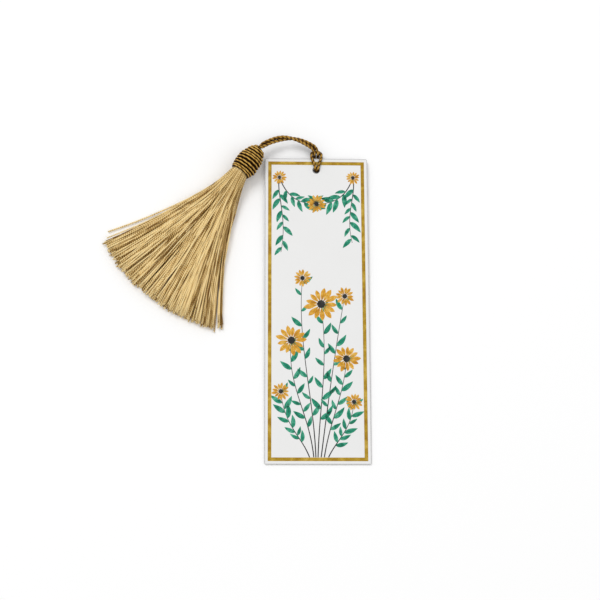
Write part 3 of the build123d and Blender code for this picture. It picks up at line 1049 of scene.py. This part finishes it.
@dataclass(frozen=True)
class TasselHead:
    """The head: a turned mould wound with plied cord, with the two cord ends and their knot inside."""

    pivot: Place = (-0.0275, 0.157004, 0.00645)
    axis: Place = (-0.606043, -0.795432, 0.0)
    top_gap: float = 0.00085
    length: float = 0.0160
    top_radius: float = 0.0030
    widest_radius: float = 0.00645
    widest_place: float = 0.0104
    base_radius: float = 0.0054
    cord_radius: float = 0.0006
    turns: float = 10.5
    level_turn: float = 1.0
    points_per_turn: int = 24
    sink: float = 0.00008
    bulge: float = 0.00007
    sway: float = 0.00008
    unevenness: tuple[float, ...] = (0.31, 0.73, 1.21, 1.87)
    seed: int = 3
    end_offset: float = 0.00075
    end_depth: float = 0.0081
    end_stations: int = 32
    bend_start: float = -0.00025
    bend_end: float = 0.00065
    lay: PliedCord = PliedCord(
        ply_radius=0.00052, ply_offset=0.00009, twist_pitch=0.0056, groove_share=0.54, side_shade=1.0
    )
    end_lay: PliedCord = PliedCord(
        ply_radius=0.00058, ply_offset=0.00015, groove_share=0.72, tips=(0.35, 1.0)
    )

    def along(self, distance: float) -> Array:
        """Place on the head's axis, a distance from its top."""
        return np.array(self.pivot) + np.array(self.axis) * (self.top_gap + distance)

    def side(self) -> Array:
        """Level direction square to the axis."""
        return np.cross(np.array(self.axis), UP)

    def flank(self, place: float, radius: float) -> Pair:
        """Centre height and radius of the arc from the widest place to one of the head's ends."""
        reach = place - self.widest_place
        drop = self.widest_radius - radius
        arc = (reach**2 + drop**2) / (2 * drop)
        return self.widest_radius - self.cord_radius - arc, arc

    def uneven(self, turn: Array, draw: int) -> Array:
        """Slow waves along the winding, about 1 high, that fade out at both of its ends."""
        waves = np.array(self.unevenness)[:, None]
        phases = np.random.default_rng(self.seed + draw).uniform(0, 2 * np.pi, waves.shape)
        ends = np.minimum(1, np.minimum(turn, self.turns - turn))
        return ends * np.sin(2 * np.pi * waves * turn + phases).sum(axis=0)

    def winding_line(self) -> Array:
        """Middle of the winding: even turns on two arcs that meet at the widest place, then a level one."""
        first = self.cord_radius
        last = self.length - self.cord_radius
        upper_centre, upper_arc = self.flank(first, self.top_radius)
        lower_centre, lower_arc = self.flank(last, self.base_radius)
        upper_lean = np.arcsin((self.widest_place - first) / upper_arc)
        lower_lean = np.arcsin((last - self.widest_place) / lower_arc)
        upper_run = upper_arc * upper_lean
        turn = np.linspace(0, self.turns, round(self.turns * self.points_per_turn) + 1)
        run = (upper_run + lower_arc * lower_lean) * np.minimum(turn / (self.turns - self.level_turn), 1)
        is_upper = run < upper_run
        lean = np.where(is_upper, run / upper_arc - upper_lean, (run - upper_run) / lower_arc)
        arc = np.where(is_upper, upper_arc, lower_arc)
        place = self.widest_place + arc * np.sin(lean)
        reach = np.where(is_upper, upper_centre, lower_centre) + arc * np.cos(lean) - self.sink
        place = place + self.sway * self.uneven(turn, 0)
        reach = reach + self.bulge * self.uneven(turn, 1)
        angle = 2 * np.pi * turn
        spokes = np.cos(angle)[:, None] * UP + np.sin(angle)[:, None] * self.side()
        controls = self.along(0.0) + place[:, None] * np.array(self.axis) + reach[:, None] * spokes
        return route_line("winding_route", controls, self.lay.step)

    def build(self) -> None:
        """Wind the head, bend the cord ends into its bore, and dress what lies inside."""
        axis = np.array(self.axis)
        line = self.winding_line()
        # painted highlight on the turns' crowns and painted shade in the grooves and on the flanks, facing
        # out from the axis
        spokes = line - self.along(0.0)
        outward = unit(spokes - (spokes @ axis)[:, None] * axis)
        winding = self.lay.piece("winding_cord", line, axis, outward)
        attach(winding, Body.TASSEL.value)
        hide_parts("head_winding")
        dress(winding, WINDING_YARN)
        share = np.linspace(0, 1, self.end_stations)[:, None]
        for name, side in (("upper", 1), ("lower", -1)):
            line = self.along(0.0) + side * self.end_offset * UP + share * self.end_depth * axis
            inner = self.end_lay.piece(f"inner_end_{name}", line, UP)
            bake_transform(inner)
            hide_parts(f"cord_end_{name}")
            dress(inner, CORD_YARN)
        dress(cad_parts["head_mould"], MOULD_WOOD)
        dress(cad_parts["stopper_knot"], KNOT_SHADE)
        dress(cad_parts["hank_tie"], TIE_SHADE)


@dataclass(frozen=True)
class Skirt:
    """The fan of threads: they fill the head's round end and spread into a thin bed on the table."""

    head: TasselHead
    threads: int = 580
    sides: int = 4
    root_radius: float = 0.00020
    thread_radius: float = 0.00034
    radius_spread: float = 0.15
    swell_length: float = 0.020
    face_distance: float = 0.01705
    mouth_places: tuple[float, ...] = (-0.0024, -0.0012, 0.0006)
    mouth_spreads: tuple[float, ...] = (0.00254, 0.0039, 0.0046)
    hank_radius: float = 0.0044
    thread_length: float = 0.0745
    cut_spread: float = 0.008
    ragged_share: float = 0.02
    ragged_power: float = 6.0
    stray_length: float = 0.985
    reach_limit: float = 0.9
    half_width: float = 0.0355
    flare_power: float = 1.3
    right_lag: float = 0.26
    drift_share: float = 0.066
    wander: float = 0.00055
    wander_length: float = 0.011
    tip_thickness: float = 0.0026
    settle_length: float = 0.028
    table_clearance: float = 0.00043
    touchdown_length: float = 0.015
    edge_thinning: float = 0.7
    edge_power: int = 4
    dive_share: float = 0.55
    dive_length: float = 0.0045
    clump_waves: tuple[float, ...] = (23.0, 47.0, 83.0)
    clump_share: float = 0.16
    root_mixing: float = 0.03
    root_least: float = 0.02
    layer_mixing: float = 0.12
    gap: Pair = (0.875, 0.960)
    gap_shift: float = 0.08
    strays: tuple[float, ...] = (-1.15, -1.045)
    middle_tone: float = 0.60
    tone_spread: float = 0.27
    # depth_share, dark_share and dark_drop paint shade into the threads' tone
    depth_share: float = 0.18
    tip_lift: float = 0.15
    dark_share: float = 0.20
    dark_drop: float = 0.55
    root_calm: float = 0.35
    buried: tuple[float, ...] = (-0.0042, -0.0024, -0.0012)
    stations: tuple[float, ...] = (
        *(0.0, 0.05, 0.11, 0.18, 0.26, 0.35, 0.44),
        *(0.53, 0.62, 0.71, 0.80, 0.90, 1.0),
    )
    seed: int = 5

    def layout(self, rng: Draws) -> tuple[Array, Array, Array, Array]:
        """Shares that place each thread, with neighbours at the root kept neighbours in the fan.

        Roots lie on a sunflower spiral. The order across the root gives the place across the fan,
        and waves added to it bunch the threads, with a pale gap near the right edge and strays on
        the left.

        Args:
            rng: source of the draws.

        Returns:
            Root across, root up, fan across and fan up, one column of shares each.
        """
        number = np.arange(self.threads) + MIDDLE
        radius = np.sqrt(number / self.threads)
        root_across = radius * np.cos(GOLDEN_ANGLE * number)
        root_up = radius * np.sin(GOLDEN_ANGLE * number)
        rank = np.argsort(np.argsort(root_across + rng.normal(0, self.root_mixing, self.threads)))
        fan_across = 2 * (rank + MIDDLE) / self.threads - 1
        waves = np.array(self.clump_waves)[:, None]
        phases = rng.uniform(0, 2 * np.pi, waves.shape)
        bunching = np.sin(waves * fan_across + phases) * self.clump_share / waves
        fan_across = fan_across + 2 * bunching.sum(axis=0)
        in_gap = (fan_across > self.gap[0]) & (fan_across < self.gap[1])
        fan_across = np.where(in_gap, self.gap[0] - rng.uniform(0, self.gap_shift, self.threads), fan_across)
        first = np.argsort(fan_across)[: len(self.strays)]
        fan_across[first] = self.strays
        fan_up = root_up / np.sqrt(np.clip(1 - root_across**2, self.root_least, 1))
        fan_up = np.clip(fan_up + rng.normal(0, self.layer_mixing, self.threads), -1, 1)
        return root_across[:, None], root_up[:, None], fan_across[:, None], fan_up[:, None]

    def distances(self, rng: Draws, fan_across: Array) -> Array:
        """Distance of each thread's stations from the head's face, to tips that are cut on a round arc."""
        column = (self.threads, 1)
        cut = rng.normal(0, self.cut_spread, column)
        cut = cut - self.ragged_share * rng.random(column) ** self.ragged_power
        length = self.thread_length * (1 + cut)
        length[np.argmin(fan_across)] *= self.stray_length
        aside = np.minimum(np.abs(fan_across) * self.half_width, self.reach_limit * length)
        tip = np.sqrt(length**2 - aside**2)
        inside = np.broadcast_to(self.buried, (self.threads, len(self.buried)))
        return np.concatenate([inside, np.array(self.stations) * tip], axis=1)

    def waver(self, rng: Draws, ahead: Array, length: float) -> Array:
        """A slow wave along each thread, with a phase of its own."""
        return np.sin(ahead / length + rng.uniform(0, 2 * np.pi, (self.threads, 1)))

    def tones(self, rng: Draws, level: Array, grown: Array, share: Array) -> Array:
        """How light each thread is at its stations: some darkened at random and deep ones darker, both as
        painted shade, and roots even.
        """
        column = (self.threads, 1)
        own = self.tone_spread * rng.normal(size=column)
        # painted shade: a random share of threads is darkened to stand for shaded gaps between bunches, and
        # threads low in the bed are darker
        own = own - self.dark_drop * (rng.random(column) < self.dark_share) + self.depth_share * level
        calm = self.root_calm + (1 - self.root_calm) * grown
        return np.clip(self.middle_tone + calm * own + self.tip_lift * share, 0, 1)

    def build(self) -> None:
        """Lay the threads: the fan widens by a power of the distance, later on its right, and settles."""
        rng = np.random.default_rng(self.seed)
        column = (self.threads, 1)
        root_across, root_up, fan_across, fan_up = self.layout(rng)
        forward = self.distances(rng, fan_across)
        ahead = np.maximum(forward, 0)
        grown = np.minimum(ahead / self.swell_length, 1)
        spread = np.interp(forward, self.mouth_places, self.mouth_spreads)

        depth = np.sqrt(self.thread_length**2 - self.half_width**2)
        power = self.flare_power + self.right_lag * np.clip(fan_across, 0, 1) ** 2
        flare = (self.half_width - self.hank_radius) * (ahead / depth) ** power
        wander = rng.normal(0, self.wander, column) * self.waver(rng, ahead, self.wander_length)
        across = root_across * spread + fan_across * flare + self.drift_share * ahead + wander * grown

        unsettled = np.exp(-ahead / self.settle_length)
        edge = np.clip(np.abs(fan_across), 0, 1) ** self.edge_power
        tip_thickness = self.tip_thickness * (1 - self.edge_thinning * edge)
        thickness = tip_thickness + (2 * spread - tip_thickness) * unsettled
        aloft = np.maximum(1 - ahead / self.touchdown_length, 0) ** 2
        lowest = self.table_clearance + (self.head.widest_radius - spread - self.table_clearance) * aloft
        dive = rng.uniform(0, self.dive_share, column) * self.waver(rng, ahead, self.dive_length)
        level = np.clip(root_up * unsettled + (fan_up + dive) * (1 - unsettled), -1, 1)
        height = lowest + thickness * (1 + level) / 2

        axis = np.array(self.head.axis)
        face = self.head.along(self.face_distance) * np.array([1.0, 1.0, 0.0])
        lines = face + forward[..., None] * axis + height[..., None] * UP
        lines = lines - across[..., None] * self.head.side()
        radii = self.root_radius + (self.thread_radius - self.root_radius) * grown
        radii = radii * rng.uniform(1 - self.radius_spread, 1 + self.radius_spread, column)
        skirt = tube_mesh(
            "thread_skirt",
            round_rings(lines, radii, UP, self.sides),
            run_lengths(lines),
            self.tones(rng, level, grown, ahead / self.thread_length),
        )
        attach(skirt, Body.TASSEL.value)
        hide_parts("skirt_threads")
        dress(skirt, SKIRT_THREAD)


@dataclass(frozen=True)
class Studio:
    """Pale table, soft light and the camera at the photograph's angle."""

    target: Place = (-0.008188, 0.080378, 0.0)
    distance: float = 0.70634
    elevation: float = 75.19
    azimuth: float = -8.685
    roll: float = 8.74
    lens: float = 87.15
    sensor: float = 36.0
    clip_start: float = 0.01
    floor_half: float = 1.6
    floor_finish: Finish = TableFinish("table_white")
    ambient: float = 0.67
    lamps: tuple[tuple[str, Place, float, float], ...] = (
        ("key_lamp", (-0.90, 1.20, 2.20), 1.30, 23.0),
        ("fill_lamp", (1.30, -0.70, 2.40), 2.20, 9.5),
    )

    def build(self) -> None:
        """Set the floor, the world, the lamps and the camera."""
        scene = bpy.context.scene
        scene.view_settings.view_transform = "Standard"
        self.lay_floor()
        self.light_world(scene)
        for name, place, size, power in self.lamps:
            lamp = bpy.data.lights.new(name, "AREA")
            lamp.shape = "DISK"
            lamp.size = size
            lamp.energy = power
            holder = add_object(name, lamp)
            holder.matrix_world = self.aim(np.array(place), np.array(self.target), 0.0)
        camera = bpy.data.cameras.new("photo_camera")
        camera.lens = self.lens
        camera.sensor_width = self.sensor
        camera.clip_start = self.clip_start
        holder = add_object("photo_camera", camera)
        level, turn = np.radians(self.elevation), np.radians(self.azimuth)
        back = np.array([np.sin(turn) * np.cos(level), -np.cos(turn) * np.cos(level), np.sin(level)])
        place = np.array(self.target) + self.distance * back
        holder.matrix_world = self.aim(place, np.array(self.target), np.radians(self.roll))
        scene.camera = holder

    @staticmethod
    def aim(place: Array, target: Array, roll: float) -> Matrix:
        """Matrix of something at a place that looks at a target, rolled about its line of sight."""
        forward = unit(target - place)
        level = unit(np.cross(forward, UP))
        upright = np.cross(level, forward)
        right = level * np.cos(roll) + upright * np.sin(roll)
        columns = np.stack([right, np.cross(right, forward), -forward, place], axis=1)
        return Matrix(np.concatenate([columns, [[0, 0, 0, 1]]]).tolist())

    def lay_floor(self) -> None:
        """A plain table top under the part."""
        half = self.floor_half
        mesh = bpy.data.meshes.new("table_top")
        corners = [(-half, -half, 0), (half, -half, 0), (half, half, 0), (-half, half, 0)]
        mesh.from_pydata(corners, [], [(0, 1, 2, 3)])
        floor = add_object("table_top", mesh)
        dress(floor, self.floor_finish)

    def light_world(self, scene: bpy.types.Scene) -> None:
        """Even light from all round; the camera and reflections see it as plain white."""
        world = bpy.data.worlds.new("soft_room")
        scene.world = world
        world.use_nodes = True
        sheet = ShaderSheet(world.node_tree)
        outputs = sheet.node("ShaderNodeLightPath").socket.node.outputs
        camera, glossy, through = (
            Signal(sheet, outputs[f"Is {kind} Ray"]) for kind in ("Camera", "Glossy", "Transmission")
        )
        seen = camera.larger(glossy).larger(through)
        strength = self.ambient + seen * (1 - self.ambient)
        light = sheet.node("ShaderNodeBackground", inputs={"Color": (1, 1, 1, 1), "Strength": strength})
        sheet.node("ShaderNodeOutputWorld", inputs={"Surface": light})


def main() -> None:
    """Build the studio, the cord, the tassel and the card in order."""
    logging.basicConfig(level=logging.INFO, format="%(message)s")
    Studio().build()
    card = Card()
    HangingCord(card).build()
    head = TasselHead()
    head.build()
    Skirt(head).build()
    card.build()
    Print(card).build()


if __name__ == "__main__":
    main()
